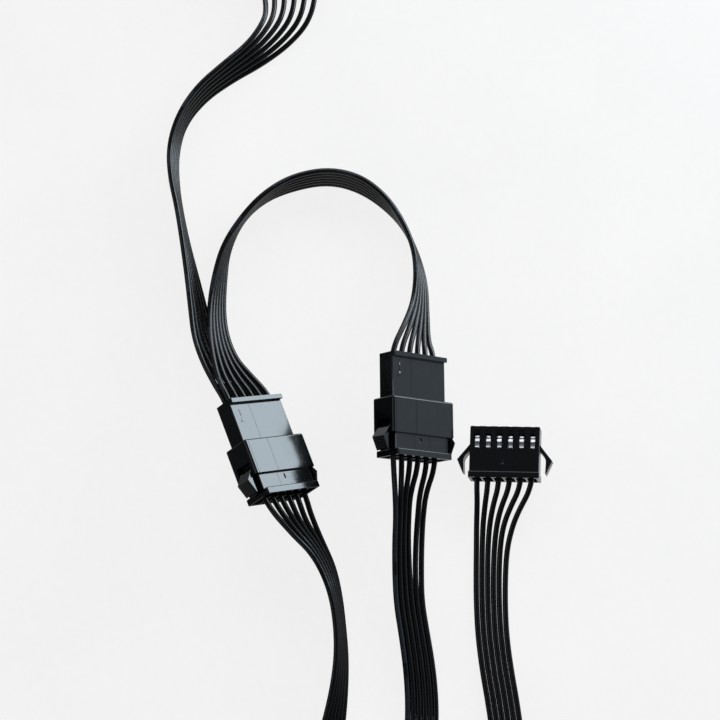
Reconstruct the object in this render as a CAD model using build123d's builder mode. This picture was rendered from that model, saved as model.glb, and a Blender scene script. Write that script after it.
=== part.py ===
from build123d import *

import os
from math import cos, hypot, radians, sin, tan

# A six-way extension harness for low-voltage leads, lying on a table.
#
# Two sockets, A and B, are joined by a loop of six-wire ribbon.  A second
# ribbon feeds socket A from an open socket, C.  Three leads end in plugs:
# plug A sits in socket A, plug B in socket B and plug C lies spare.  Every
# plug has two sprung latch arms that are pressed in to release it.
#
# Connector frame: X across the row of ways, Y along the wires, Z out of the
# front face.  A plug starts at its wire end and a socket at its mouth.
# Part frame: +Z up, the table at Z = 0, the origin in the middle of the
# connectors' footprint.  All sizes are in millimetres.

# --- ways and wires ---------------------------------------------------------
ways = 6
pitch = 2.5
wire_diameter = 1.2
ribbon_pitch = 1.27          # wires side by side in the flat ribbon
wire_depth = 3.0             # how far a wire goes into its housing
wire_exit = 1.2              # straight stretch outside a plug
socket_exit = 0.7            # and outside a socket
shared_row = 0.65            # half the step between two wires in one cavity

# --- plug -------------------------------------------------------------------
plug_length = 11.8
plug_end_wall = 1.6          # from the last way's axis to the side
plug_depth = 5.3
flange_length = 1.45
flange_side = 0.12           # how far the flange stands out at the sides
flange_face = 1.15           # and at the front and back
cavity_width = 1.9
cavity_back = 1.1
cavity_front = 2.2
funnel_width = 2.1           # tall mouth of each cavity in the flange
funnel_height = 6.0
funnel_depth = 1.0
nose_wall = 1.6              # solid nose ahead of the contact cavities
entry_width = 1.0            # square holes that let the pins in
window_width = 1.2
window_start = 0.9           # from the nose
window_end = 5.1
nose_notch = 0.3
channel_width = 1.6          # shallow channel from the nose along each window
channel_depth = 0.2
gate_from_nose = 8.0         # the scar of the mould's gate
gate_side = 0.3              # how far it lies left of the middle
gate_radius = 0.3            # of the rounded dimple
gate_run = 0.7               # between the centres of its round ends
gate_depth = 0.16
edge_round = 0.2
flange_round = 0.3           # of the edges of the flange

# --- latch arms -------------------------------------------------------------
latch_depth = 3.9
latch_root = 4.05            # where the arm leaves the side, from the nose
latch_reach = 2.9            # how far the arm's tip stands out
latch_tip = 7.65             # the tip, from the nose
latch_end = 10.5             # the end of the grip, from the nose
latch_end_out = 1.65         # outer and inner side of the grip's end
latch_end_in = 1.3
latch_gap = 1.45             # between the arm and the side, beside the tip
latch_bend = 2.4             # radius of the arm's inner bend
hinge_along = 1.25           # hinge from the root, along the outer slope
hinge_radius = 0.42
hinge_clearance = 0.05
table_clearance = 0.05       # under the lowest latch arm
grip_ribs = 6
grip_rib_depth = 0.2
latch_range = 8.0            # degrees that an arm can be pressed in

# --- socket -----------------------------------------------------------------
socket_length = 18.35
hood_length = 8.1
hood_cavity_length = 7.05
hood_side_wall = 1.05
hood_face_wall = 0.8
hood_clearance = 0.1
hood_corner = 0.5
shoulder_round = 0.4         # of the edges around the end of the hood
neck_depth = 4.4
neck_setback = 0.3           # the neck's middle lies behind the hood's
lip_length = 1.0
lip_out = 1.0                # how far the lip stands out at the front
nose_gap = 0.3               # between a seated plug and the cavity floor
notch_length = 3.1           # open notch for the latch arm, in each side
notch_clearance = 0.3
pin_radius = 0.32
pin_clearance = 0.05
pin_recess = 1.1             # pin tip inside the mouth
pin_floor = 3.0              # wall that holds the pins
socket_cavity_height = 2.8
unplug_travel = 8.0

# --- contacts ---------------------------------------------------------------
crimp_width = 1.5
crimp_height = 1.8
shared_crimp_height = 2.6
contact_width = 1.7
contact_nose = 1.9           # from the plug's nose
contact_length = 4.8
contact_back = 0.95
contact_shoulder = 1.3
contact_opening = 0.9
contact_entry = 1.0          # closed end behind the opening for the pin
contact_play = 0.1           # below the roof of the cavity
tongue_width = 0.98
tongue_foot = 0.2            # how far the tongue is sunk into its receptacle
crimp_corner = 0.3
crimp_gap = 0.3              # between the wall that holds the pins and the crimps
# The sprung tongue's top: how far back from the receptacle's nose, and how far
# below its highest place.
tongue_profile = [(0.0, 0.7), (0.1, 0.42), (0.6, 0.2), (0.9, 0.34), (1.5, 0.05),
                  (2.15, 0.27), (2.85, 0.0), (3.1, 0.3), (3.2, 0.5)]
tinned_diameter = 0.8
tinned_length = 5.0

# --- fine marks -------------------------------------------------------------
line_width = 0.1
line_depth = 0.05
line_side = 2.3              # from the middle to the main moulding line
hood_line_inset = 0.9        # from the hood's sides to its outer lines
mark_height = 0.08
mark_side = 2.2              # from the neck's left side to the numeral
mark_start = 2.2             # from the lip to the middle of the numeral
numeral_length = 1.5
numeral_stroke = 0.28
numeral_flag = 0.36
triangle_side = 1.3
triangle_start = 4.1         # from the lip to the middle of the triangle

# --- derived sizes ----------------------------------------------------------
row = pitch * (ways - 1)
plug_width = row + 2 * plug_end_wall
flange_width = plug_width + 2 * flange_side
flange_depth = plug_depth + 2 * flange_face
hood_cavity_width = plug_width + 2 * hood_clearance
hood_cavity_depth = plug_depth + 2 * hood_clearance
hood_width = hood_cavity_width + 2 * hood_side_wall
hood_depth = hood_cavity_depth + 2 * hood_face_wall
neck_front = neck_depth / 2 - neck_setback
neck_back = -neck_depth / 2 - neck_setback
mouth = plug_length - (hood_cavity_length - nose_gap)
way_places = [pitch * (way - (ways - 1) / 2) for way in range(ways)]


def cross_plane(y):
    """A plane across the wires at y, whose sketch axes are X and Z."""
    return Plane(origin=(0, y, 0), x_dir=(1, 0, 0), z_dir=(0, -1, 0))


def block(width, y_low, y_high, z_low, z_high, corner=0.0, mode=Mode.ADD):
    """A bar along Y between two heights, with rounded long edges."""
    with BuildSketch(cross_plane(y_low)) as section:
        with Locations((0, (z_low + z_high) / 2)):
            if corner > 0:
                RectangleRounded(width, z_high - z_low, corner)
            else:
                Rectangle(width, z_high - z_low)
    extrude(section.sketch, amount=-(y_high - y_low), mode=mode)


def cut_ways(width, y_low, y_high, z_low, z_high):
    """The same rectangular hole along Y in every way."""
    with BuildSketch(cross_plane(y_low)) as holes:
        with Locations(*[(x, (z_low + z_high) / 2) for x in way_places]):
            Rectangle(width, z_high - z_low)
    extrude(holes.sketch, amount=-(y_high - y_low), mode=Mode.SUBTRACT)


def witness_line(x, y_low, y_high, face):
    """A fine moulding line along Y in a front face."""
    with Locations((x, (y_low + y_high) / 2, face)):
        Box(line_width, y_high - y_low, 2 * line_depth, mode=Mode.SUBTRACT)


# --- latch geometry, seen from the front ------------------------------------
# Points are (out from the plug's side, back from the nose).
slope_length = hypot(latch_reach, latch_tip - latch_root)
slope = (latch_reach / slope_length, (latch_tip - latch_root) / slope_length)
inward = (-slope[1], slope[0])
root_point = (0.0, latch_root)
tangent_point = (slope[0] * hinge_along, latch_root + slope[1] * hinge_along)
hinge_point = (tangent_point[0] + inward[0] * hinge_radius,
               tangent_point[1] + inward[1] * hinge_radius)
inner_tangent = (hinge_point[0] + inward[0] * hinge_radius,
                 hinge_point[1] + inward[1] * hinge_radius)
inner_rise = (latch_gap - inner_tangent[0]) / slope[0]
inner_corner = (latch_gap, inner_tangent[1] + slope[1] * inner_rise)


def side_point(side, point):
    """A latch point in the connector frame, on the left (-1) or right (+1)."""
    return (side * (plug_width / 2 + point[0]), plug_length - point[1])


def grip_outline():
    """The ribbed outer face, from the arm's tip to the end of its grip."""
    tip = (latch_reach, latch_tip)
    run = (latch_end_out - tip[0], latch_end - tip[1])
    length = hypot(*run)
    dip = (-run[1] / length * grip_rib_depth, run[0] / length * grip_rib_depth)
    points = [tip]
    for rib in range(grip_ribs):
        for share, depth in ((0.5, 1.0), (1.0, 0.0)):
            along = (rib + share) / grip_ribs
            points.append((tip[0] + run[0] * along + dip[0] * depth,
                           tip[1] + run[1] * along + dip[1] * depth))
    return points


def make_latch(side):
    """One sprung arm with its round root and ribbed finger grip."""
    outline = [tangent_point] + grip_outline()
    outline += [(latch_end_in, latch_end), inner_corner, inner_tangent]
    with BuildPart() as latch:
        with BuildSketch(Plane.XY.offset(-latch_depth / 2)) as section:
            with BuildLine():
                Polyline(*[side_point(side, point) for point in outline], close=True)
            make_face()
            bend_x, bend_y = side_point(side, inner_corner)
            bend = min(section.vertices(), key=lambda v: hypot(v.X - bend_x, v.Y - bend_y))
            fillet(bend, latch_bend)
            with Locations(side_point(side, hinge_point)):
                Circle(hinge_radius)
        extrude(amount=latch_depth)
    return latch.part


def make_plug_housing():
    """Plug moulding: body, flange, hinge ears, cavities and contact windows."""
    front = plug_depth / 2
    with BuildPart() as flange:
        block(flange_width, 0, flange_length, -flange_depth / 2, flange_depth / 2, flange_round)
        fillet(flange.edges().group_by(Axis.Y)[-1], 0.9 * flange_round)
    with BuildPart() as housing:
        block(plug_width, 0, plug_length, -front, front, edge_round)
        nose_edges = housing.edges().group_by(Axis.Y)[-1]
        chamfer(nose_edges, edge_round)
        add(flange.part)
        for side in (-1, 1):
            ear = [(-edge_round, latch_root), root_point, tangent_point, hinge_point,
                   (-edge_round, inner_tangent[1])]
            with BuildSketch(Plane.XY.offset(-latch_depth / 2)):
                with BuildLine():
                    Polyline(*[side_point(side, point) for point in ear], close=True)
                make_face()
            extrude(amount=latch_depth)
            with BuildSketch(Plane.XY):
                with Locations(side_point(side, hinge_point)):
                    Circle(hinge_radius + hinge_clearance)
            extrude(amount=latch_depth / 2 + hinge_clearance, both=True, mode=Mode.SUBTRACT)
        cut_ways(cavity_width, 0, plug_length - nose_wall, -cavity_back, cavity_front)
        cut_ways(funnel_width, 0, funnel_depth, -funnel_height / 2, funnel_height / 2)
        cut_ways(entry_width, plug_length - nose_wall, plug_length,
                 -entry_width / 2, entry_width / 2)
        cut_ways(window_width, plug_length - window_end, plug_length - window_start,
                 cavity_front - line_depth, front)
        cut_ways(window_width, plug_length - nose_notch, plug_length,
                 cavity_front - line_depth, front)
        cut_ways(channel_width, plug_length - window_end, plug_length,
                 front - channel_depth, front)
        for side in (-1, 1):
            witness_line(side * line_side, flange_length, plug_length - window_end, front)
        gate = (-gate_side, plug_length - gate_from_nose, front + gate_radius - gate_depth)
        with Locations(gate):
            Cylinder(gate_radius, gate_run, rotation=(90, 0, 0), mode=Mode.SUBTRACT)
        with Locations(*[(gate[0], gate[1] + end * gate_run / 2, gate[2]) for end in (-1, 1)]):
            Sphere(gate_radius, mode=Mode.SUBTRACT)
    return housing.part


def make_plug_contacts():
    """Six crimped receptacles, each with a bright sprung tongue on top."""
    nose = plug_length - contact_nose
    back = nose - contact_length
    with BuildPart() as contacts:
        with BuildSketch(cross_plane(back)):
            with Locations(*[(x, (contact_shoulder - contact_back) / 2) for x in way_places]):
                Rectangle(contact_width, contact_shoulder + contact_back)
        extrude(amount=-contact_length)
        cut_ways(contact_opening, back + contact_entry, nose,
                 -contact_opening / 2, contact_opening / 2)
        roof = cavity_front - contact_play
        profile = [(nose - back_off, roof - below) for back_off, below in tongue_profile]
        profile += [(back, profile[-1][1]), (back, contact_shoulder - tongue_foot),
                    (nose, contact_shoulder - tongue_foot)]
        for x in way_places:
            with BuildSketch(Plane(origin=(x - tongue_width / 2, 0, 0),
                                   x_dir=(0, 1, 0), z_dir=(1, 0, 0))):
                with BuildLine():
                    Polyline(*profile, close=True)
                make_face()
            extrude(amount=tongue_width)
        with BuildSketch(cross_plane(wire_depth)):
            with Locations(*[(x, 0) for x in way_places]):
                RectangleRounded(crimp_width, crimp_height, crimp_corner)
        extrude(amount=-(back - wire_depth))
    return contacts.part


def make_socket_housing():
    """Socket moulding: hood with open latch notches, neck, lip and cavities."""
    front = hood_depth / 2
    with BuildPart() as housing:
        block(hood_width, 0, hood_length, -front, front, hood_corner)
        shoulder = housing.edges().group_by(Axis.Y)[-1]
        fillet(shoulder, shoulder_round)
        block(plug_width, hood_length - shoulder_round, socket_length, neck_back, neck_front,
              edge_round)
        block(plug_width, socket_length - lip_length, socket_length, neck_back,
              neck_front + lip_out, edge_round)
        block(hood_cavity_width, 0, hood_cavity_length, -hood_cavity_depth / 2,
              hood_cavity_depth / 2, mode=Mode.SUBTRACT)
        notch_height = latch_depth / 2 + notch_clearance
        block(hood_width, 0, notch_length, -notch_height, notch_height, mode=Mode.SUBTRACT)
        floor_end = hood_cavity_length + pin_floor
        cut_ways(cavity_width, floor_end, socket_length,
                 -socket_cavity_height / 2, socket_cavity_height / 2)
        with BuildSketch(cross_plane(hood_cavity_length)):
            with Locations(*[(x, 0) for x in way_places]):
                Circle(pin_radius + pin_clearance)
        extrude(amount=-pin_floor, mode=Mode.SUBTRACT)
        witness_line(-line_side, hood_length, socket_length - lip_length, neck_front)
        witness_line(-line_side, 0, hood_length - shoulder_round, front)
        for side in (-1, 1):
            witness_line(side * (hood_width / 2 - hood_line_inset), 0,
                         hood_length - shoulder_round, front)
        add_first_way_mark()
    return housing.part


def add_first_way_mark():
    """A raised numeral 1 over a small triangle, beside the first way."""
    mark_x = mark_side - plug_width / 2
    lip = socket_length - lip_length
    with BuildSketch(Plane.XY.offset(neck_front)) as mark:
        with Locations((mark_x, lip - mark_start)):
            Rectangle(numeral_stroke, numeral_length)
        with Locations((mark_x - numeral_flag / 2, lip - mark_start + 0.37 * numeral_length)):
            Rectangle(numeral_flag, numeral_stroke * 0.7, rotation=40)
        with Locations((mark_x, lip - triangle_start)):
            Triangle(a=triangle_side, b=triangle_side, c=triangle_side)
    extrude(mark.sketch, amount=mark_height)


def make_socket_pins(height):
    """Six round pins, each with the crimp that holds its wire or wires."""
    crimp_start = hood_cavity_length + pin_floor + crimp_gap
    crimp_end = socket_length - wire_depth
    with BuildPart() as pins:
        with BuildSketch(cross_plane(pin_recess)):
            with Locations(*[(x, 0) for x in way_places]):
                Circle(pin_radius)
        extrude(amount=-(crimp_start - pin_recess))
        tips = pins.edges().group_by(Axis.Y)[0]
        chamfer(tips, pin_radius / 2)
        with BuildSketch(cross_plane(crimp_start)):
            with Locations(*[(x, 0) for x in way_places]):
                RectangleRounded(crimp_width, height, crimp_corner)
        extrude(amount=-(crimp_end - crimp_start))
    return pins.part


# --- how the pieces lie on the table ----------------------------------------
# Places in the lay are measured from a point between connectors A and B; the
# part's origin is the middle of the connectors' footprint.
origin_x = 5.8
origin_y = 35.9


def lay(x, y, z):
    """A place in the lay as a point of the part's frame."""
    return Vector(x - origin_x, y - origin_y, z)


def lying_plane(x, y, height, lean, roll, pitch=0.0):
    """A connector's frame: its Y leans left of the table's Y and rises by pitch,
    and its front face is rolled to the right."""
    lean, roll, pitch = radians(lean), radians(roll), radians(pitch)
    across = Vector(cos(roll), sin(roll) * sin(pitch), -sin(roll) * cos(pitch))
    normal = Vector(sin(roll), -cos(roll) * sin(pitch), cos(roll) * cos(pitch))
    turned = [Vector(v.X * cos(lean) - v.Y * sin(lean), v.X * sin(lean) + v.Y * cos(lean), v.Z)
              for v in (across, normal)]
    return Plane(origin=lay(x, y, height), x_dir=turned[0], z_dir=turned[1])


def resting_height(width, depth, corner, roll):
    """Axis height of a rounded block that lies on one of its long edges."""
    roll = radians(abs(roll))
    return (width / 2 - corner) * sin(roll) + (depth / 2 - corner) * cos(roll) + corner


def moved_along(place, distance):
    """The same frame, moved along its own Y."""
    return Plane(origin=place.from_local_coords(Vector(0, distance, 0)),
                 x_dir=place.x_dir, z_dir=place.z_dir)


def joined_height(roll, pitch=0.0):
    """Axis height, at the mouth, of a socket with its plug: it lies on the end
    of the hood or on the tip of a latch arm, whichever is the lower."""
    hood = resting_height(hood_width, hood_depth, hood_corner, roll)
    tip = resting_height(plug_width + 2 * latch_reach, latch_depth, 0.0, roll)
    rise = radians(pitch)
    return max(hood * cos(rise) - hood_length * sin(rise), tip * cos(rise)) + table_clearance


roll_a, pitch_a = 44.3, -5.6
roll_b = 39.8
roll_c = -8.5
socket_a_place = lying_plane(-18.57, -28.02, joined_height(roll_a, pitch_a), 20.8, roll_a, pitch_a)
socket_b_place = lying_plane(12.1, -19.1, joined_height(roll_b), 0.55, roll_b)
socket_c_place = lying_plane(-16.5, 107.2, hood_depth / 2, 180.0, 180.0)
plug_a_place = moved_along(socket_a_place, -mouth)
plug_b_place = moved_along(socket_b_place, -mouth)
plug_c_place = lying_plane(32.5, -28.4, resting_height(flange_width, flange_depth, flange_round,
                                                      roll_c), -2.4, roll_c)


# --- wires ------------------------------------------------------------------
def even(spacing):
    """Six places across a ribbon, evenly spaced."""
    return [spacing * (wire - (ways - 1) / 2) for wire in range(ways)]


def housing_end(place, inside, outside, height=0.0):
    """The two stations where a ribbon's wires leave a housing, straight."""
    return [(place.from_local_coords(Vector(0, y, height)), place.x_dir, even(pitch), True)
            for y in (inside, outside)]


def station(x, y, z, across, offsets):
    """One station of a ribbon: its middle, its width direction, its wires."""
    return (lay(x, y, z), Vector(*across), offsets, False)


def wire_routes(stations):
    """The six wires' points, from the stations of their ribbon."""
    middles = [middle for middle, _, _, _ in stations]
    routes = [[] for _ in range(ways)]
    for index, (middle, across, offsets, fixed) in enumerate(stations):
        if not fixed:
            before = middles[max(index - 1, 0)]
            after = middles[min(index + 1, len(middles) - 1)]
            travel = (after - before).normalized()
            across = (across - travel * across.dot(travel)).normalized()
        for route, offset in zip(routes, offsets):
            route.append(middle + across * offset)
    return routes


def corner_radii(route):
    """The largest arc that each corner of a route leaves room for."""
    radii = []
    for before, corner, after in zip(route, route[1:], route[2:]):
        run_in, run_out = corner - before, after - corner
        half_turn = radians(run_in.get_angle(run_out)) / 2
        radii.append(0.45 * min(run_in.length, run_out.length) / tan(half_turn))
    return radii


loop_stations = (
    housing_end(socket_a_place, socket_length - wire_depth, socket_length + socket_exit, shared_row)
    + [station(-28.5, -5.3, 7.7, (0.62, 0.22, -0.75), even(2.15)),
       station(-30.8, -0.4, 6.8, (0.53, 0.12, -0.84), even(1.7)),
       station(-32.3, 5.4, 5.4, (0.47, 0.02, -0.88), even(1.4)),
       station(-32.8, 11.4, 4.2, (0.42, 0.0, -0.91), even(ribbon_pitch)),
       station(-32.2, 18.5, 3.9, (0.30, 0.0, -0.95), even(ribbon_pitch)),
       station(-30.9, 25.6, 3.9, (0.11, 0.04, -0.99), even(ribbon_pitch)),
       station(-27.2, 32.6, 3.9, (-0.02, 0.16, -0.98), even(ribbon_pitch)),
       station(-22.2, 37.7, 3.9, (0.0, 0.03, -1.0), even(ribbon_pitch)),
       station(-15.6, 41.1, 3.9, (0.05, -0.18, -0.98), even(ribbon_pitch)),
       station(-7.6, 42.7, 3.9, (0.0, -0.22, -0.98), even(ribbon_pitch)),
       station(-0.4, 41.1, 3.9, (-0.08, -0.24, -0.97), even(ribbon_pitch)),
       station(5.6, 36.8, 3.9, (-0.08, -0.10, -0.99), even(ribbon_pitch)),
       station(10.1, 31.1, 3.9, (0.06, 0.06, -0.99), even(ribbon_pitch)),
       station(12.9, 24.4, 3.9, (0.15, 0.0, -0.99), even(ribbon_pitch)),
       station(14.0, 17.6, 4.0, (0.36, 0.0, -0.93), even(ribbon_pitch)),
       station(13.7, 10.9, 5.0, (0.48, 0.0, -0.88), even(1.4)),
       station(12.9, 5.3, 6.8, (0.58, 0.0, -0.81), even(1.85))]
    + housing_end(socket_b_place, socket_length - wire_depth, socket_length + socket_exit)[::-1])

feed_stations = (
    housing_end(socket_a_place, socket_length - wire_depth, socket_length + socket_exit, -shared_row)
    + [station(-29.8, -5.6, 6.5, (0.62, 0.22, -0.75), even(2.15)),
       station(-33.1, -1.2, 6.0, (0.55, 0.15, -0.82), even(1.8)),
       station(-35.5, 3.9, 5.2, (0.50, 0.10, -0.86), even(1.55)),
       station(-36.9, 10.6, 4.2, (0.47, 0.05, -0.88), even(1.3)),
       station(-38.4, 18.2, 3.9, (0.32, 0.0, -0.95), even(ribbon_pitch)),
       station(-40.1, 26.2, 3.9, (0.15, 0.0, -0.99), even(ribbon_pitch)),
       station(-41.7, 34.3, 3.9, (0.07, 0.0, -1.0), even(ribbon_pitch)),
       station(-43.1, 41.4, 3.9, (0.16, 0.0, -0.99), even(ribbon_pitch)),
       station(-43.5, 48.6, 3.9, (0.20, 0.0, -0.98), even(ribbon_pitch)),
       station(-41.7, 56.0, 3.9, (0.18, 0.0, -0.98), even(ribbon_pitch)),
       station(-37.2, 62.6, 3.8, (0.30, -0.1, -0.95), even(ribbon_pitch)),
       station(-30.9, 67.8, 3.7, (0.45, -0.2, -0.87), even(ribbon_pitch)),
       station(-24.4, 72.4, 3.6, (0.66, -0.2, -0.72), even(1.4)),
       station(-19.4, 77.7, 3.6, (0.88, -0.1, -0.46), even(1.7)),
       station(-16.9, 82.2, 3.8, (0.98, 0.0, -0.16), even(2.15))]
    + housing_end(socket_c_place, socket_length - wire_depth, socket_length + socket_exit)[::-1])

tail_a_stations = (
    housing_end(plug_a_place, wire_depth, -wire_exit)
    + [station(-12.9, -38.9, 7.3, (0.62, 0.25, -0.74), [-4.1, -2.7, -1.35, -0.1, 1.75, 4.3]),
       station(-9.9, -43.1, 5.4, (0.48, 0.18, -0.86), [-3.5, -2.2, -0.9, 0.4, 1.75, 3.4]),
       station(-7.1, -48.4, 4.1, (0.42, 0.12, -0.90), even(1.3)),
       station(-5.4, -54.3, 3.9, (0.30, 0.05, -0.95), even(ribbon_pitch)),
       station(-4.5, -60.8, 3.8, (0.26, 0.0, -0.97), even(ribbon_pitch)),
       station(-4.1, -67.6, 3.75, (0.32, 0.0, -0.95), even(ribbon_pitch)),
       station(-4.6, -74.8, 3.5, (0.45, 0.0, -0.89), even(ribbon_pitch)),
       station(-5.8, -82.4, 3.1, (0.64, 0.0, -0.77), even(ribbon_pitch)),
       station(-7.4, -90.0, 2.4, (0.84, 0.0, -0.54), even(ribbon_pitch)),
       station(-8.5, -97.8, 1.5, (0.97, 0.0, -0.24), even(1.35)),
       station(-8.8, -105.6, 0.8, (1.0, 0.0, -0.04), even(1.6)),
       station(-8.5, -112.8, 0.65, (1.0, 0.0, 0.0), even(2.1))])

tail_b_stations = (
    housing_end(plug_b_place, wire_depth, -wire_exit)
    + [station(11.1, -31.6, 6.0, (0.80, 0.0, -0.60), [-3.95, -2.4, -1.1, 0.2, 2.85, 4.6]),
       station(10.8, -36.6, 4.2, (0.72, 0.0, -0.69), [-3.8, -2.45, -1.15, 0.15, 3.0, 4.7]),
       station(10.6, -42.3, 3.3, (0.78, 0.0, -0.62), [-3.6, -2.3, -1.02, 0.27, 2.5, 4.2]),
       station(10.65, -49.3, 2.5, (0.86, 0.0, -0.50), [-3.3, -2.02, -0.75, 0.52, 2.0, 3.6]),
       station(11.0, -55.8, 2.2, (0.89, 0.0, -0.45), even(1.3)),
       station(12.1, -62.6, 1.9, (0.91, 0.0, -0.40), even(ribbon_pitch)),
       station(13.2, -69.8, 1.6, (0.95, 0.0, -0.30), even(ribbon_pitch)),
       station(13.8, -77.6, 1.2, (0.98, 0.0, -0.17), even(ribbon_pitch)),
       station(13.6, -85.6, 0.85, (1.0, 0.0, -0.06), even(ribbon_pitch)),
       station(12.8, -93.6, 0.7, (1.0, 0.0, 0.0), even(1.35)),
       station(12.3, -101.4, 0.65, (1.0, 0.0, 0.0), even(1.6)),
       station(12.6, -108.4, 0.65, (1.0, 0.0, 0.0), even(2.1))])

tail_c_stations = (
    housing_end(plug_c_place, wire_depth, -wire_exit)
    + [station(30.85, -34.3, 3.5, (0.99, 0.0, 0.14), [-4.65, -2.8, -0.98, 0.84, 2.75, 4.8]),
       station(30.0, -38.6, 2.2, (0.99, 0.0, 0.12), [-3.8, -2.35, -0.88, 0.7, 2.15, 4.15]),
       station(29.55, -43.6, 1.3, (1.0, 0.0, 0.08), [-3.35, -2.05, -0.75, 0.65, 1.95, 3.5]),
       station(29.3, -49.6, 0.85, (1.0, 0.0, 0.03), [-3.2, -1.92, -0.64, 0.64, 1.92, 3.35]),
       station(29.3, -56.2, 0.68, (1.0, 0.0, 0.0), [-3.2, -1.92, -0.64, 0.64, 1.92, 3.25]),
       station(29.6, -63.2, 0.65, (1.0, 0.0, 0.0), even(ribbon_pitch)),
       station(30.5, -70.6, 0.65, (1.0, 0.0, 0.0), even(ribbon_pitch)),
       station(31.8, -78.4, 0.65, (1.0, 0.0, 0.0), even(ribbon_pitch)),
       station(32.8, -86.4, 0.65, (1.0, 0.0, 0.0), even(ribbon_pitch)),
       station(33.0, -94.6, 0.65, (1.0, 0.0, 0.0), even(1.35)),
       station(32.4, -102.6, 0.65, (1.0, 0.0, 0.0), even(1.6)),
       station(31.5, -109.8, 0.65, (1.0, 0.0, 0.0), even(2.1))])


def make_wire(route):
    """One insulated wire, swept along straight runs joined by arcs."""
    with BuildPart() as wire:
        with BuildLine() as path:
            FilletPolyline(*route, radius=corner_radii(route))
        with BuildSketch(Plane(origin=path.line @ 0, z_dir=path.line % 0)):
            Circle(wire_diameter / 2)
        sweep()
    return wire.part, path.wire().length


def make_tinned_ends(routes):
    """Six stripped and tinned wire ends, one past the end of each wire."""
    with BuildPart() as ends:
        for route in routes:
            along = (route[-1] - route[-2]).normalized()
            with BuildSketch(Plane(origin=route[-1], z_dir=along)):
                Circle(tinned_diameter / 2)
            extrude(amount=tinned_length)
    return ends.part


# --- build and write --------------------------------------------------------
os.makedirs("parts", exist_ok=True)


def write(piece, label, place=Plane.XY):
    """Put a finished piece in its place and write it as one STEP file."""
    placed = piece.moved(place.location)
    placed.label = label
    export_step(placed, f"parts/{label}.step")


plug_housing = make_plug_housing()
plug_contacts = make_plug_contacts()
latches = {"left": make_latch(-1), "right": make_latch(1)}
for name, place in (("a", plug_a_place), ("b", plug_b_place), ("c", plug_c_place)):
    write(plug_housing, f"plug_{name}_housing", place)
    write(plug_contacts, f"plug_{name}_contacts", place)
    for side, latch in latches.items():
        write(latch, f"plug_{name}_latch_{side}", place)

socket_housing = make_socket_housing()
for name, place, height in (("a", socket_a_place, shared_crimp_height),
                            ("b", socket_b_place, crimp_height),
                            ("c", socket_c_place, crimp_height)):
    write(socket_housing, f"socket_{name}_housing", place)
    write(make_socket_pins(height), f"socket_{name}_pins", place)

for name, stations in (("loop", loop_stations), ("feed", feed_stations),
                       ("tail_a", tail_a_stations), ("tail_b", tail_b_stations),
                       ("tail_c", tail_c_stations)):
    routes = wire_routes(stations)
    for number, route in enumerate(routes, start=1):
        wire, length = make_wire(route)
        write(wire, f"{name}_wire_{number}")
        print(f"{name}_wire_{number}: length {length:.1f} mm, tightest arc "
              f"{min(corner_radii(route)):.1f} mm")
    if name.startswith("tail"):
        write(make_tinned_ends(routes), f"{name}_ends")
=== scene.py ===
"""The looks of a black six-way plug-in wiring harness that lies on a table."""

import math

import bmesh
import bpy
from mathutils import Matrix, Vector


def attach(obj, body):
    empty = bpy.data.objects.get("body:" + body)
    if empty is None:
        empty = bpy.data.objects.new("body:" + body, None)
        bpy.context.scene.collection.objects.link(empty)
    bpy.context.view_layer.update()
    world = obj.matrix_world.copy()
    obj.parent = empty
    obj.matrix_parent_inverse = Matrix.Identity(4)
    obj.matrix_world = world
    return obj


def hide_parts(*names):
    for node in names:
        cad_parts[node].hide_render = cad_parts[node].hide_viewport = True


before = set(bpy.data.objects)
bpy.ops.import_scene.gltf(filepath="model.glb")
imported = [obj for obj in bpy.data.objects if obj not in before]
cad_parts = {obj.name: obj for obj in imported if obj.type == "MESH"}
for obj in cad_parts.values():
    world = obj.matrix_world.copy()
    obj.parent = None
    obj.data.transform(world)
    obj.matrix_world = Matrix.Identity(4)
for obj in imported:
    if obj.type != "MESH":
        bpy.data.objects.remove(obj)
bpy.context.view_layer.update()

# --- sizes, in millimetres, as in the CAD ----------------------------------------
MM = 0.001
ways = 6
pitch = 2.5                  # from one way of a connector to the next
plug_width = 15.7
flange_width = 15.94
flange_depth = 7.6
flange_round = 0.3
latch_reach = 2.9            # a latch beyond the plug's side
latch_depth = 3.9
socket_length = 18.35
hood_length = 8.1
hood_width = 18.0
hood_depth = 7.1
hood_corner = 0.5
mouth = 5.05                 # a seated plug's wire end to its socket's mouth
table_clearance = 0.05
wire_diameter = 1.2
wire_depth = 3.0             # of a wire inside its housing
wire_exit = 1.2              # straight stretch of a wire outside a plug
socket_exit = 0.7            # and outside a socket
shared_row = 0.65            # each ribbon's wires off the middle of a socket that two share
ribbon_pitch = 1.27          # from one wire of a flat ribbon to the next
tinned_diameter = 0.8
tinned_length = 5.0
origin_x = 5.8               # where the CAD's origin lies in the lay
origin_y = 35.9


# --- how the connectors lie --------------------------------------------------------
def lay(x, y, z):
    """A place in the lay, in millimetres, as a point of the frame."""
    return Vector((x - origin_x, y - origin_y, z)) * MM


def lying_frame(x, y, height, lean, roll, pitch=0.0):
    """A connector's frame: X across its ways, Y along its wires, Z out of its front."""
    lean, roll, pitch = (math.radians(angle) for angle in (lean, roll, pitch))
    turned = (Matrix.Rotation(lean, 4, "Z") @ Matrix.Rotation(pitch, 4, "X")
              @ Matrix.Rotation(roll, 4, "Y"))
    return Matrix.Translation(lay(x, y, height)) @ turned


def resting_height(width, depth, corner, roll):
    """Axis height of a rounded block that lies on one of its long edges."""
    roll = math.radians(abs(roll))
    return ((width / 2 - corner) * math.sin(roll) + (depth / 2 - corner) * math.cos(roll)
            + corner)


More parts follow.
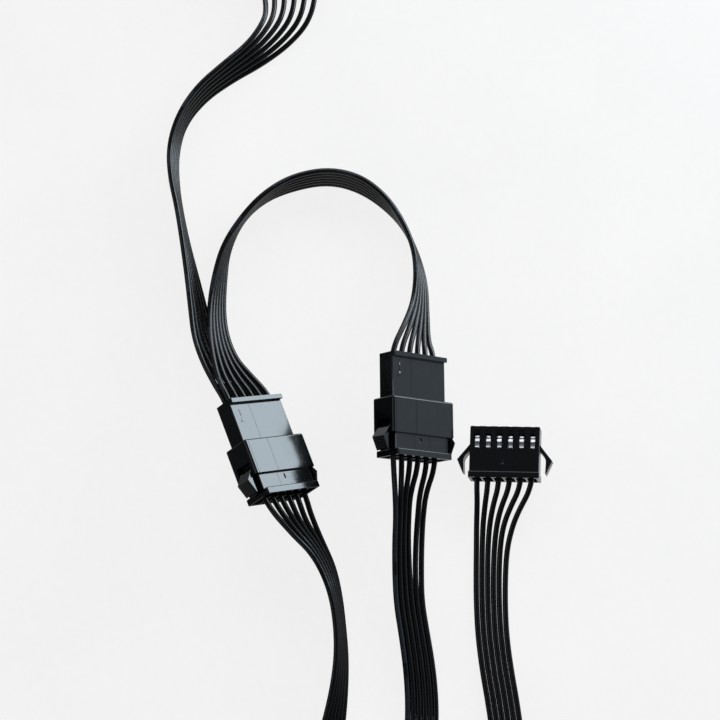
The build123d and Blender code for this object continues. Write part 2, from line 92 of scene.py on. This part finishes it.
def joined_height(roll, pitch=0.0):
    """Mouth height of a joined pair that rests on its hood's rim or on its latch's tip."""
    hood_rest = resting_height(hood_width, hood_depth, hood_corner, roll)
    tip_rest = resting_height(plug_width + 2 * latch_reach, latch_depth, 0.0, roll)
    tilt = math.radians(pitch)
    return max(hood_rest * math.cos(tilt) - hood_length * math.sin(tilt),
               tip_rest * math.cos(tilt)) + table_clearance


def moved_along(place, distance):
    """A place moved along its own wires."""
    return place @ Matrix.Translation((0, distance * MM, 0))


roll_a, pitch_a = 44.3, -5.6
roll_b = 39.8
roll_c = -8.5
socket_a_frame = lying_frame(-18.57, -28.02, joined_height(roll_a, pitch_a),
                             20.8, roll_a, pitch_a)
socket_b_frame = lying_frame(12.1, -19.1, joined_height(roll_b), 0.55, roll_b)
socket_c_frame = lying_frame(-16.5, 107.2, hood_depth / 2, 180.0, 180.0)
plug_a_frame = moved_along(socket_a_frame, -mouth)
plug_b_frame = moved_along(socket_b_frame, -mouth)
plug_c_frame = lying_frame(
    32.5, -28.4, resting_height(flange_width, flange_depth, flange_round, roll_c),
    -2.4, roll_c)


# --- the wires' routes -------------------------------------------------------------
def even(spacing):
    """Six places across a ribbon, evenly spaced."""
    return [spacing * (wire - (ways - 1) / 2) for wire in range(ways)]


def housing_end(place, inside, outside, height=0.0):
    """The two stations where a ribbon's wires leave a housing, straight."""
    across = place.to_3x3() @ Vector((1, 0, 0))
    return [(place @ (Vector((0, y, height)) * MM), across, even(pitch), True)
            for y in (inside, outside)]


def socket_end(place, height=0.0):
    """Where a ribbon's wires leave a socket, height above the middle of its depth."""
    return housing_end(place, socket_length - wire_depth, socket_length + socket_exit, height)


def plug_end(place):
    """Where a tail's wires leave a plug."""
    return housing_end(place, wire_depth, -wire_exit)


def station(x, y, z, across, spacing=ribbon_pitch, offsets=None):
    """One station of a ribbon: its middle, its width direction and its six wires.

    The wires are evenly spaced, unless offsets gives the place of each.
    """
    return (lay(x, y, z), Vector(across), offsets or even(spacing), False)


def wire_routes(stations):
    """The six wires' points, from the stations of their ribbon."""
    middles = [middle for middle, _, _, _ in stations]
    routes = [[] for _ in range(ways)]
    for index, (middle, across, offsets, fixed) in enumerate(stations):
        if not fixed:
            before = middles[max(index - 1, 0)]
            after = middles[min(index + 1, len(middles) - 1)]
            travel = (after - before).normalized()
            across = (across - travel * across.dot(travel)).normalized()
        for route, offset in zip(routes, offsets):
            route.append(middle + across * offset * MM)
    return routes


loop_stations = (
    socket_end(socket_a_frame, shared_row)
    + [station(-28.5, -5.3, 7.7, (0.62, 0.22, -0.75), 2.15),
       station(-30.8, -0.4, 6.8, (0.53, 0.12, -0.84), 1.7),
       station(-32.3, 5.4, 5.4, (0.47, 0.02, -0.88), 1.4),
       station(-32.8, 11.4, 4.2, (0.42, 0.0, -0.91)),
       station(-32.2, 18.5, 3.9, (0.30, 0.0, -0.95)),
       station(-30.9, 25.6, 3.9, (0.11, 0.04, -0.99)),
       station(-27.2, 32.6, 3.9, (-0.02, 0.16, -0.98)),
       station(-22.2, 37.7, 3.9, (0.0, 0.03, -1.0)),
       station(-15.6, 41.1, 3.9, (0.05, -0.18, -0.98)),
       station(-7.6, 42.7, 3.9, (0.0, -0.22, -0.98)),
       station(-0.4, 41.1, 3.9, (-0.08, -0.24, -0.97)),
       station(5.6, 36.8, 3.9, (-0.08, -0.10, -0.99)),
       station(10.1, 31.1, 3.9, (0.06, 0.06, -0.99)),
       station(12.9, 24.4, 3.9, (0.15, 0.0, -0.99)),
       station(14.0, 17.6, 4.0, (0.36, 0.0, -0.93)),
       station(13.7, 10.9, 5.0, (0.48, 0.0, -0.88), 1.4),
       station(12.9, 5.3, 6.8, (0.58, 0.0, -0.81), 1.85)]
    + socket_end(socket_b_frame)[::-1])

feed_stations = (
    socket_end(socket_a_frame, -shared_row)
    + [station(-29.8, -5.6, 6.5, (0.62, 0.22, -0.75), 2.15),
       station(-33.1, -1.2, 6.0, (0.55, 0.15, -0.82), 1.8),
       station(-35.5, 3.9, 5.2, (0.50, 0.10, -0.86), 1.55),
       station(-36.9, 10.6, 4.2, (0.47, 0.05, -0.88), 1.3),
       station(-38.4, 18.2, 3.9, (0.32, 0.0, -0.95)),
       station(-40.1, 26.2, 3.9, (0.15, 0.0, -0.99)),
       station(-41.7, 34.3, 3.9, (0.07, 0.0, -1.0)),
       station(-43.1, 41.4, 3.9, (0.16, 0.0, -0.99)),
       station(-43.5, 48.6, 3.9, (0.20, 0.0, -0.98)),
       station(-41.7, 56.0, 3.9, (0.18, 0.0, -0.98)),
       station(-37.2, 62.6, 3.8, (0.30, -0.1, -0.95)),
       station(-30.9, 67.8, 3.7, (0.45, -0.2, -0.87)),
       station(-24.4, 72.4, 3.6, (0.66, -0.2, -0.72), 1.4),
       station(-19.4, 77.7, 3.6, (0.88, -0.1, -0.46), 1.7),
       station(-16.9, 82.2, 3.8, (0.98, 0.0, -0.16), 2.15)]
    + socket_end(socket_c_frame)[::-1])

tail_a_stations = (
    plug_end(plug_a_frame)
    + [station(-12.9, -38.9, 7.3, (0.62, 0.25, -0.74),
               offsets=[-4.1, -2.7, -1.35, -0.1, 1.75, 4.3]),
       station(-9.9, -43.1, 5.4, (0.48, 0.18, -0.86),
               offsets=[-3.5, -2.2, -0.9, 0.4, 1.75, 3.4]),
       station(-7.1, -48.4, 4.1, (0.42, 0.12, -0.90), 1.3),
       station(-5.4, -54.3, 3.9, (0.30, 0.05, -0.95)),
       station(-4.5, -60.8, 3.8, (0.26, 0.0, -0.97)),
       station(-4.1, -67.6, 3.75, (0.32, 0.0, -0.95)),
       station(-4.6, -74.8, 3.5, (0.45, 0.0, -0.89)),
       station(-5.8, -82.4, 3.1, (0.64, 0.0, -0.77)),
       station(-7.4, -90.0, 2.4, (0.84, 0.0, -0.54)),
       station(-8.5, -97.8, 1.5, (0.97, 0.0, -0.24), 1.35),
       station(-8.8, -105.6, 0.8, (1.0, 0.0, -0.04), 1.6),
       station(-8.5, -112.8, 0.65, (1.0, 0.0, 0.0), 2.1)])

tail_b_stations = (
    plug_end(plug_b_frame)
    + [station(11.1, -31.6, 6.0, (0.80, 0.0, -0.60),
               offsets=[-3.95, -2.4, -1.1, 0.2, 2.85, 4.6]),
       station(10.8, -36.6, 4.2, (0.72, 0.0, -0.69),
               offsets=[-3.8, -2.45, -1.15, 0.15, 3.0, 4.7]),
       station(10.6, -42.3, 3.3, (0.78, 0.0, -0.62),
               offsets=[-3.6, -2.3, -1.02, 0.27, 2.5, 4.2]),
       station(10.65, -49.3, 2.5, (0.86, 0.0, -0.50),
               offsets=[-3.3, -2.02, -0.75, 0.52, 2.0, 3.6]),
       station(11.0, -55.8, 2.2, (0.89, 0.0, -0.45), 1.3),
       station(12.1, -62.6, 1.9, (0.91, 0.0, -0.40)),
       station(13.2, -69.8, 1.6, (0.95, 0.0, -0.30)),
       station(13.8, -77.6, 1.2, (0.98, 0.0, -0.17)),
       station(13.6, -85.6, 0.85, (1.0, 0.0, -0.06)),
       station(12.8, -93.6, 0.7, (1.0, 0.0, 0.0), 1.35),
       station(12.3, -101.4, 0.65, (1.0, 0.0, 0.0), 1.6),
       station(12.6, -108.4, 0.65, (1.0, 0.0, 0.0), 2.1)])

tail_c_stations = (
    plug_end(plug_c_frame)
    + [station(30.85, -34.3, 3.5, (0.99, 0.0, 0.14),
               offsets=[-4.65, -2.8, -0.98, 0.84, 2.75, 4.8]),
       station(30.0, -38.6, 2.2, (0.99, 0.0, 0.12),
               offsets=[-3.8, -2.35, -0.88, 0.7, 2.15, 4.15]),
       station(29.55, -43.6, 1.3, (1.0, 0.0, 0.08),
               offsets=[-3.35, -2.05, -0.75, 0.65, 1.95, 3.5]),
       station(29.3, -49.6, 0.85, (1.0, 0.0, 0.03),
               offsets=[-3.2, -1.92, -0.64, 0.64, 1.92, 3.35]),
       station(29.3, -56.2, 0.68, (1.0, 0.0, 0.0),
               offsets=[-3.2, -1.92, -0.64, 0.64, 1.92, 3.25]),
       station(29.6, -63.2, 0.65, (1.0, 0.0, 0.0)),
       station(30.5, -70.6, 0.65, (1.0, 0.0, 0.0)),
       station(31.8, -78.4, 0.65, (1.0, 0.0, 0.0)),
       station(32.8, -86.4, 0.65, (1.0, 0.0, 0.0)),
       station(33.0, -94.6, 0.65, (1.0, 0.0, 0.0), 1.35),
       station(32.4, -102.6, 0.65, (1.0, 0.0, 0.0), 1.6),
       station(31.5, -109.8, 0.65, (1.0, 0.0, 0.0), 2.1)])


# --- nodes -------------------------------------------------------------------------
def add_node(tree, kind, inputs=None, **settings):
    """A node with its properties and, by socket name, its input values."""
    node = tree.nodes.new(kind)
    for label, value in (inputs or {}).items():
        node.inputs[label].default_value = value
    for label, value in settings.items():
        setattr(node, label, value)
    return node


def noise(tree, vector, scale, detail=3.0, roughness=0.5):
    """A noise texture on a vector; scale is a number or a socket."""
    node = add_node(tree, "ShaderNodeTexNoise", {"Detail": detail, "Roughness": roughness})
    tree.links.new(vector, node.inputs["Vector"])
    if isinstance(scale, (int, float)):
        node.inputs["Scale"].default_value = scale
    else:
        tree.links.new(scale, node.inputs["Scale"])
    return node.outputs["Fac"]


def spread(tree, value, low, high, to_low=0.0, to_high=1.0):
    """Maps a value's range to another, clamped."""
    node = add_node(tree, "ShaderNodeMapRange", {"From Min": low, "From Max": high,
                                                 "To Min": to_low, "To Max": to_high})
    tree.links.new(value, node.inputs["Value"])
    return node.outputs["Result"]


def between(tree, share, low, high):
    """A value between two numbers, by a share from 0 to 1."""
    return spread(tree, share, 0.0, 1.0, low, high)


def maths(tree, operation, first, second=None):
    """A math node on sockets or numbers."""
    node = add_node(tree, "ShaderNodeMath", operation=operation)
    for socket, value in zip(node.inputs, (first, second)):
        if isinstance(value, (int, float)):
            socket.default_value = value
        elif value is not None:
            tree.links.new(value, socket)
    return node.outputs["Value"]


def weighted(tree, first, first_weight, second, second_weight):
    """The sum of two values, each times its weight, a number or a socket."""
    return maths(tree, "ADD", maths(tree, "MULTIPLY", first, first_weight),
                 maths(tree, "MULTIPLY", second, second_weight))


def split(tree, vector):
    """A vector's X, Y and Z, as the outputs of one node."""
    node = tree.nodes.new("ShaderNodeSeparateXYZ")
    tree.links.new(vector, node.inputs["Vector"])
    return node.outputs


def mix_colours(tree, factor, first, second):
    """A colour between two colours, or colour sockets, by a factor socket."""
    node = add_node(tree, "ShaderNodeMix", data_type="RGBA")
    tree.links.new(factor, node.inputs[0])
    for socket, value in zip((node.inputs[6], node.inputs[7]), (first, second)):
        if isinstance(value, tuple):
            socket.default_value = (*value, 1.0)
        else:
            tree.links.new(value, socket)
    return node.outputs[2]


def bump(tree, shader, height, strength, distance):
    """Feeds a height into the shader's normal."""
    node = add_node(tree, "ShaderNodeBump", {"Strength": strength, "Distance": distance})
    tree.links.new(height, node.inputs["Height"])
    tree.links.new(node.outputs["Normal"], shader.inputs["Normal"])


# --- shader groups; a noise's scale counts its grains per metre ----------------------
def new_group(name, inputs, outputs):
    """An empty shader group with named value sockets; inputs maps names to defaults."""
    group = bpy.data.node_groups.new(name, "ShaderNodeTree")
    group.interface.new_socket("Vector", in_out="INPUT", socket_type="NodeSocketVector")
    for label, default in inputs.items():
        socket = group.interface.new_socket(label, in_out="INPUT",
                                            socket_type="NodeSocketFloat")
        socket.default_value = default
    for label in outputs:
        group.interface.new_socket(label, in_out="OUTPUT", socket_type="NodeSocketFloat")
    entry = group.nodes.new("NodeGroupInput").outputs
    leave = group.nodes.new("NodeGroupOutput").inputs
    return group, entry, leave


def make_moulded_skin():
    """The skin of moulded nylon: fine grain, drawn streaks along Y and cloudy patches."""
    streak_squeeze = (1.0, 0.045, 1.0)       # draws the streaks out along Y
    group, entry, leave = new_group("moulded_skin", {"Grain": 0.5, "Streaks": 0.5},
                                    ("Height", "Cloud"))
    grain = noise(group, entry["Vector"], scale=5200.0, detail=2.0)
    squeezed = add_node(group, "ShaderNodeVectorMath", operation="MULTIPLY")
    squeezed.inputs[1].default_value = streak_squeeze
    group.links.new(entry["Vector"], squeezed.inputs[0])
    streaks = noise(group, squeezed.outputs["Vector"], scale=3400.0, detail=4.0,
                    roughness=0.65)
    cloud = noise(group, entry["Vector"], scale=260.0, detail=5.0, roughness=0.6)
    height = weighted(group, grain, entry["Grain"], streaks, entry["Streaks"])
    mixed = weighted(group, cloud, 0.6, streaks, 0.4)
    group.links.new(height, leave["Height"])
    group.links.new(spread(group, mixed, 0.35, 0.65), leave["Cloud"])
    return group


def make_lint():
    """A mask of sparse dust specks."""
    group, entry, leave = new_group("lint", {"Scale": 900.0, "Amount": 0.5}, ("Mask",))
    cells = add_node(group, "ShaderNodeTexVoronoi", feature="F1")
    group.links.new(entry["Vector"], cells.inputs["Vector"])
    group.links.new(entry["Scale"], cells.inputs["Scale"])
    speck = spread(group, cells.outputs["Distance"], 0.10, 0.04)
    chosen = noise(group, entry["Vector"], scale=700.0, detail=1.0)
    sparse = spread(group, chosen, 0.60, 0.68)
    mask = maths(group, "MULTIPLY", maths(group, "MULTIPLY", speck, sparse), entry["Amount"])
    group.links.new(mask, leave["Mask"])
    return group


def make_handling():
    """Faint smears and scuffs, as a value that raises roughness."""
    group, entry, leave = new_group("handling", {"Scale": 300.0}, ("Smear",))
    wide = noise(group, entry["Vector"], entry["Scale"], detail=6.0, roughness=0.7)
    group.links.new(spread(group, wide, 0.42, 0.7), leave["Smear"])
    return group


moulded_skin = make_moulded_skin()
lint = make_lint()
handling = make_handling()


# --- materials ---------------------------------------------------------------------
def new_material(name):
    """A node material with its Principled shader and its texture coordinates."""
    material = bpy.data.materials.new(name)
    material.use_nodes = True
    tree = material.node_tree
    shader = tree.nodes["Principled BSDF"]
    coordinates = tree.nodes.new("ShaderNodeTexCoord").outputs
    return material, tree, shader, coordinates


def place_group(tree, group, vector, **values):
    """A shader group in a material, on its vector, with its own values."""
    node = tree.nodes.new("ShaderNodeGroup")
    node.node_tree = group
    tree.links.new(vector, node.inputs["Vector"])
    for label, value in values.items():
        node.inputs[label].default_value = value
    return node.outputs


def black_nylon(name, place, draft):
    """Satin black moulded nylon, with its drawn streaks along the connector.

    The front takes the light as a face does that rises to its right by draft
    degrees. Only the shading has this slope, and the shape keeps its own.
    """
    deep, pale, dusty = (0.0035, 0.0045, 0.006), (0.006, 0.0075, 0.0095), (0.10, 0.11, 0.12)
    clean, smeared = 0.10, 0.15      # roughness
    grain_height = 0.0000024         # in metres
    material, tree, shader, coordinates = new_material(name)
    turn = add_node(tree, "ShaderNodeMapping",
                    {"Location": place.translation, "Rotation": place.to_euler()},
                    vector_type="TEXTURE")
    tree.links.new(coordinates["Object"], turn.inputs["Vector"])
    vector = turn.outputs["Vector"]
    skin = place_group(tree, moulded_skin, vector, Grain=0.3, Streaks=0.6)
    dust = place_group(tree, lint, vector, Scale=1500.0, Amount=0.3)
    smears = place_group(tree, handling, vector, Scale=340.0)
    plain = mix_colours(tree, skin["Cloud"], deep, pale)
    colour = mix_colours(tree, dust["Mask"], plain, dusty)
    tree.links.new(colour, shader.inputs["Base Color"])
    tree.links.new(between(tree, smears["Smear"], clean, smeared), shader.inputs["Roughness"])
    shader.inputs["Specular IOR Level"].default_value = 0.79
    rise = maths(tree, "MULTIPLY", split(tree, vector)["X"], math.tan(math.radians(draft)))
    grain = maths(tree, "MULTIPLY", skin["Height"], grain_height)
    bump(tree, shader, maths(tree, "ADD", rise, grain), strength=1.0, distance=1.0)
    return material


def black_jacket(name, length=None, dashes=None):
    """Glossy black wire insulation; dashes gives the print on a ribbon's first wire.

    dashes holds the print's period, each dash and where the first one starts, in
    millimetres from the start of the wire, which has this length. The print sits
    along the upper side of the wire.
    """
    wire_top = 0.17          # share of a turn where a wire's UV map faces up
    ragged = 0.25            # how far the ends of a dash wander, in millimetres
    deep, pale, dusty = (0.0018, 0.0022, 0.0030), (0.0032, 0.0038, 0.0050), (0.07, 0.08, 0.09)
    printed, print_roughness = (0.016, 0.023, 0.033), 0.12
    clean, smeared = 0.24, 0.30      # roughness
    material, tree, shader, coordinates = new_material(name)
    vector = coordinates["Object"]
    skin = place_group(tree, moulded_skin, vector)
    dust = place_group(tree, lint, vector, Scale=1700.0, Amount=0.02)
    smears = place_group(tree, handling, vector, Scale=420.0)
    plain = mix_colours(tree, skin["Cloud"], deep, pale)
    colour = mix_colours(tree, dust["Mask"], plain, dusty)
    rough = between(tree, smears["Smear"], clean, smeared)
    if dashes:
        period, dash, first = dashes
        along, around, _ = split(tree, coordinates["UV"])
        travelled = maths(tree, "SUBTRACT", maths(tree, "MULTIPLY", along, length), first)
        within = maths(tree, "FLOORED_MODULO", travelled, period)
        worn = noise(tree, vector, scale=1800.0)
        edge = maths(tree, "ADD", within, maths(tree, "MULTIPLY", worn, ragged))
        inked = spread(tree, edge, dash + 0.2, dash + 0.05)
        patchy = maths(tree, "MULTIPLY", inked, spread(tree, worn, 0.2, 0.5, 0.75, 1.0))
        turned = maths(tree, "FRACT", maths(tree, "SUBTRACT", around, wire_top))
        upward = maths(tree, "ABSOLUTE", maths(tree, "SUBTRACT", turned, 0.5))
        mark = maths(tree, "MULTIPLY", patchy, spread(tree, upward, 0.40, 0.42))
        colour = mix_colours(tree, mark, colour, printed)
        rough = maths(tree, "ADD", rough, maths(tree, "MULTIPLY", mark, print_roughness))
    tree.links.new(colour, shader.inputs["Base Color"])
    tree.links.new(rough, shader.inputs["Roughness"])
    return material


def tin_plate(name, tone, grain):
    """Bright tin on a copper alloy, slightly cloudy and drawn."""
    cloudy = tuple(value * 0.78 for value in tone)
    clean, smeared = 0.36, 0.50      # roughness
    material, tree, shader, coordinates = new_material(name)
    vector = coordinates["Object"]
    skin = place_group(tree, moulded_skin, vector, Grain=grain, Streaks=0.3)
    smears = place_group(tree, handling, vector, Scale=900.0)
    tree.links.new(mix_colours(tree, skin["Cloud"], cloudy, tone),
                   shader.inputs["Base Color"])
    tree.links.new(between(tree, smears["Smear"], clean, smeared), shader.inputs["Roughness"])
    shader.inputs["Metallic"].default_value = 1.0
    bump(tree, shader, skin["Height"], strength=0.4, distance=0.00002)
    return material


def table_paper():
    """Pale, faintly mottled paper under the harness; it keeps the soft shadows.

    Most of its light is its own colour, and the rest takes the shadows. What the
    glossy pieces mirror of it is a painted glow: painted light, brighter on its
    right and far side, and fading away from the harness.
    """
    dim, fair = (0.950, 0.947, 0.946), (0.980, 0.976, 0.974)
    own_light = 0.88
    material, tree, shader, coordinates = new_material("table_paper")
    vector = coordinates["Object"]
    fibre = noise(tree, vector, scale=420.0, detail=6.0, roughness=0.6)
    broad = noise(tree, vector, scale=26.0, detail=4.0)
    mottled = weighted(tree, fibre, 0.35, broad, 0.65)
    colour = mix_colours(tree, spread(tree, mottled, 0.35, 0.65), dim, fair)
    tree.links.new(colour, shader.inputs["Base Color"])
    shader.inputs["Roughness"].default_value = 0.9
    shader.inputs["Specular IOR Level"].default_value = 0.2
    bump(tree, shader, fibre, strength=0.12, distance=0.0002)
    place = split(tree, vector)
    distance = add_node(tree, "ShaderNodeVectorMath", operation="LENGTH")
    tree.links.new(vector, distance.inputs[0])
    # painted light: for mirrored rays the paper glows brighter on its right and far side and
    # fades away from the harness, a painted reflection in the glossy pieces
    painted_glow_side = spread(tree, maths(tree, "ADD", place["X"], place["Y"]), -0.08, -0.03,
                      to_low=0.16, to_high=0.62)
    near = spread(tree, distance.outputs["Value"], 0.10, 0.24, to_low=1.0, to_high=0.10)
    path = tree.nodes.new("ShaderNodeLightPath").outputs
    glow = tree.nodes.new("ShaderNodeEmission")
    tree.links.new(colour, glow.inputs["Color"])
    tree.links.new(maths(tree, "MAXIMUM", path["Is Camera Ray"],
                         maths(tree, "MULTIPLY", painted_glow_side, near)), glow.inputs["Strength"])
    seen = maths(tree, "MAXIMUM", path["Is Camera Ray"], path["Is Glossy Ray"])
    blend = tree.nodes.new("ShaderNodeMixShader")
    tree.links.new(maths(tree, "MULTIPLY", seen, own_light), blend.inputs["Fac"])
    tree.links.new(shader.outputs["BSDF"], blend.inputs[1])
    tree.links.new(glow.outputs["Emission"], blend.inputs[2])
    tree.links.new(blend.outputs["Shader"], tree.nodes["Material Output"].inputs["Surface"])
    return material


contact_tin = tin_plate("contact_tin", tone=(0.86, 0.87, 0.88), grain=0.3)
strand_tin = tin_plate("strand_tin", tone=(0.74, 0.745, 0.75), grain=0.6)


# --- pieces that come from the CAD -------------------------------------------------
housing_edge = 0.07          # how far each kind of piece is softened, in millimetres
latch_edge = 0.06
contact_edge = 0.04
pin_edge = 0.0
weld_gap = 0.002             # nearer points than this are one


def dress(node, material, round_off):
    """Gives a CAD node its material and softens its sharp edges by round_off mm."""
    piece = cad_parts[node]
    piece.data.materials.clear()
    piece.data.materials.append(material)
    if round_off:
        weld = piece.modifiers.new("weld", "WELD")
        weld.merge_threshold = weld_gap * MM
        flatten = piece.modifiers.new("flatten", "DECIMATE")
        flatten.decimate_type = "DISSOLVE"
        flatten.angle_limit = math.radians(1)
        soften = piece.modifiers.new("soften", "BEVEL")
        soften.width = round_off * MM
        soften.segments = 2
        soften.limit_method = "ANGLE"
        soften.angle_limit = math.radians(40)
        soften.use_clamp_overlap = True
        level = piece.modifiers.new("level", "WEIGHTED_NORMAL")
        level.mode = "FACE_AREA_WITH_ANGLE"
        level.weight = 100


connectors = (
    # letter, plug, socket, slope of its shading in degrees
    ("a", plug_a_frame, socket_a_frame, 7.8),
    ("b", plug_b_frame, socket_b_frame, 0.0),
    ("c", plug_c_frame, socket_c_frame, 0.0),
)
for letter, plug_frame, socket_frame, draft in connectors:
    plug_nylon = black_nylon(f"plug_{letter}_nylon", plug_frame, draft)
    dress(f"plug_{letter}_housing", plug_nylon, housing_edge)
    for side in ("left", "right"):
        dress(f"plug_{letter}_latch_{side}", plug_nylon, latch_edge)
    socket_nylon = black_nylon(f"socket_{letter}_nylon", socket_frame, draft)
    dress(f"socket_{letter}_housing", socket_nylon, housing_edge)
    dress(f"plug_{letter}_contacts", contact_tin, contact_edge)
    dress(f"socket_{letter}_pins", contact_tin, pin_edge)


# --- new pieces --------------------------------------------------------------------
def new_object(name, data):
    """An object in the scene from its mesh, curve, lamp or camera."""
    piece = bpy.data.objects.new(name, data)
    bpy.context.scene.collection.objects.link(piece)
    return piece


def mesh_piece(name, mesh, material):
    """Turns a bmesh into a smooth-shaded object."""
    data = bpy.data.meshes.new(name)
    mesh.to_mesh(data)
    mesh.free()
    for face in data.polygons:
        face.use_smooth = True
    data.materials.append(material)
    return new_object(name, data)


def lay_wire(name, route, material, body):
    """One insulated wire as a smooth curve, attached to its body."""
    jacket_share = 0.52      # of the diameter: over half, as facets cut inside a round
    curve = bpy.data.curves.new(name, "CURVE")
    curve.dimensions = "3D"
    curve.bevel_depth = jacket_share * wire_diameter * MM
    curve.bevel_resolution = 8
    curve.use_fill_caps = True
    spline = curve.splines.new("NURBS")
    spline.points.add(len(route) - 1)
    for point, place in zip(spline.points, route):
        point.co = (*place, 1.0)
    spline.order_u = 3
    spline.use_endpoint_u = True
    spline.resolution_u = 16
    curve.materials.append(material)
    piece = new_object(name, curve)
    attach(piece, body)
    return piece


def strip_ends(name, routes, body):
    """The stripped ends of a tail: strands twisted together and tinned."""
    strands, groove = 7, 0.07
    covered = 0.2            # of the strands, inside the jacket
    twist, steps = math.radians(250), 14
    mesh = bmesh.new()
    for route in routes:
        along = (route[-1] - route[-2]).normalized()
        face_out = along.to_track_quat("Z", "Y").to_matrix().to_4x4()
        foot = Matrix.Translation(route[-1] - along * covered * MM) @ face_out
        ring = bmesh.ops.create_circle(mesh, segments=28, radius=tinned_diameter / 2 * MM,
                                       cap_ends=True)["verts"]
        for vert in ring:
            angle = math.atan2(vert.co.y, vert.co.x)
            vert.co *= 1 - groove + groove * abs(math.cos(strands / 2 * angle))
        bmesh.ops.transform(mesh, matrix=foot, verts=ring)
        cap = ring[0].link_faces[0]
        drawn = bmesh.ops.spin(mesh, geom=[cap], cent=route[-1], axis=along, steps=steps,
                               dvec=along * (tinned_length / steps * MM), angle=twist)
        tip = [face for face in drawn["geom_last"] if isinstance(face, bmesh.types.BMFace)][0]
        bmesh.ops.inset_individual(mesh, faces=[tip], thickness=0.12 * MM, depth=0.1 * MM)
    bmesh.ops.recalc_face_normals(mesh, faces=mesh.faces)
    piece = mesh_piece(f"{name}_twisted_ends", mesh, strand_tin)
    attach(piece, body)
    return piece


# --- cords -------------------------------------------------------------------------
plain_jacket = black_jacket("black_jacket")
ribbons = {
    # name: stations, body, length, and the print's period, dash and start
    "loop": (loop_stations, "harness", 131.0, (13.6, 4.0, 6.6)),
    "feed": (feed_stations, "harness", 120.0, (13.6, 3.9, 8.0)),
    "tail_a": (tail_a_stations, "plug_a", 87.0, None),
    "tail_b": (tail_b_stations, "plug_b", 88.0, (23.8, 20.6, 9.4)),
    "tail_c": (tail_c_stations, "plug_c", 85.5, None),
}
for name, (stations, body, length, dashes) in ribbons.items():
    routes = wire_routes(stations)
    loose = name.startswith("tail")
    ends = []
    if loose:
        ends = [strip_ends(name, routes, body)]
        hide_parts(f"{name}_ends")
    for number, route in enumerate(routes, start=1):
        marked = dashes and number == 1
        jacket = (black_jacket(f"{name}_marked_jacket", length, dashes) if marked
                  else plain_jacket)
        wire = lay_wire(f"{name}_lead_{number}", route, jacket, body)
        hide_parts(f"{name}_wire_{number}")


# --- table, light and camera, in metres, watts and degrees ---------------------------
def make_table():
    """A wide sheet of pale paper at the height of the table."""
    mesh = bmesh.new()
    bmesh.ops.create_grid(mesh, x_segments=2, y_segments=2, size=1.6)
    mesh_piece("table_top", mesh, table_paper())


def softbox(name, direction, distance, width, height, power, colour, target):
    """A rectangular area lamp in a direction from the target, facing it."""
    data = bpy.data.lights.new(name, "AREA")
    data.shape = "RECTANGLE"
    data.size, data.size_y = width, height
    data.energy = power
    data.color = colour
    outward = Vector(direction).normalized()
    lamp = new_object(name, data)
    lamp.location = target + outward * distance
    lamp.rotation_euler = outward.to_track_quat("Z", "Y").to_euler()


def make_camera(target, distance, azimuth, elevation, view_width):
    """The camera looks at the target from an azimuth and elevation."""
    azimuth, elevation = math.radians(azimuth), math.radians(elevation)
    back = Vector((math.sin(azimuth) * math.cos(elevation),
                   -math.cos(azimuth) * math.cos(elevation), math.sin(elevation)))
    data = bpy.data.cameras.new("camera")
    data.lens = data.sensor_width * distance / view_width
    data.clip_start, data.clip_end = 0.01, 20.0
    camera = new_object("camera", data)
    camera.location = target + back * distance
    camera.rotation_euler = back.to_track_quat("Z", "Y").to_euler()
    bpy.context.scene.camera = camera


make_table()
middle = lay(0, 0, 0)
make_camera(middle, distance=0.5, azimuth=0.0, elevation=79.0, view_width=0.1652)
lamps = (
    # name, direction, distance, width, height, power, colour
    ("key_window", (0.76, 0.60, 0.27), 0.33, 0.25, 0.20, 1.12, (0.78, 0.91, 1.0)),
    ("right_glow", (0.97, 0.10, 0.25), 0.48, 0.34, 0.26, 0.14, (0.78, 0.90, 1.0)),
    ("back_strip", (0.05, 0.80, 0.55), 0.62, 0.60, 0.20, 1.25, (0.90, 0.95, 1.0)),
    ("front_fill", (-0.25, -0.85, 0.45), 0.90, 0.70, 0.35, 0.5, (0.92, 0.96, 1.0)),
    ("left_fill", (-0.80, 0.10, 0.60), 0.95, 0.60, 0.45, 0.6, (0.92, 0.96, 1.0)),
)
for lamp in lamps:
    softbox(*lamp, target=middle)

world = bpy.data.worlds.new("studio")
world.use_nodes = True
background = world.node_tree.nodes["Background"]
background.inputs["Color"].default_value = (0.92, 0.95, 1.0, 1.0)
background.inputs["Strength"].default_value = 0.07
bpy.context.scene.world = world
bpy.context.scene.view_settings.view_transform = "Standard"
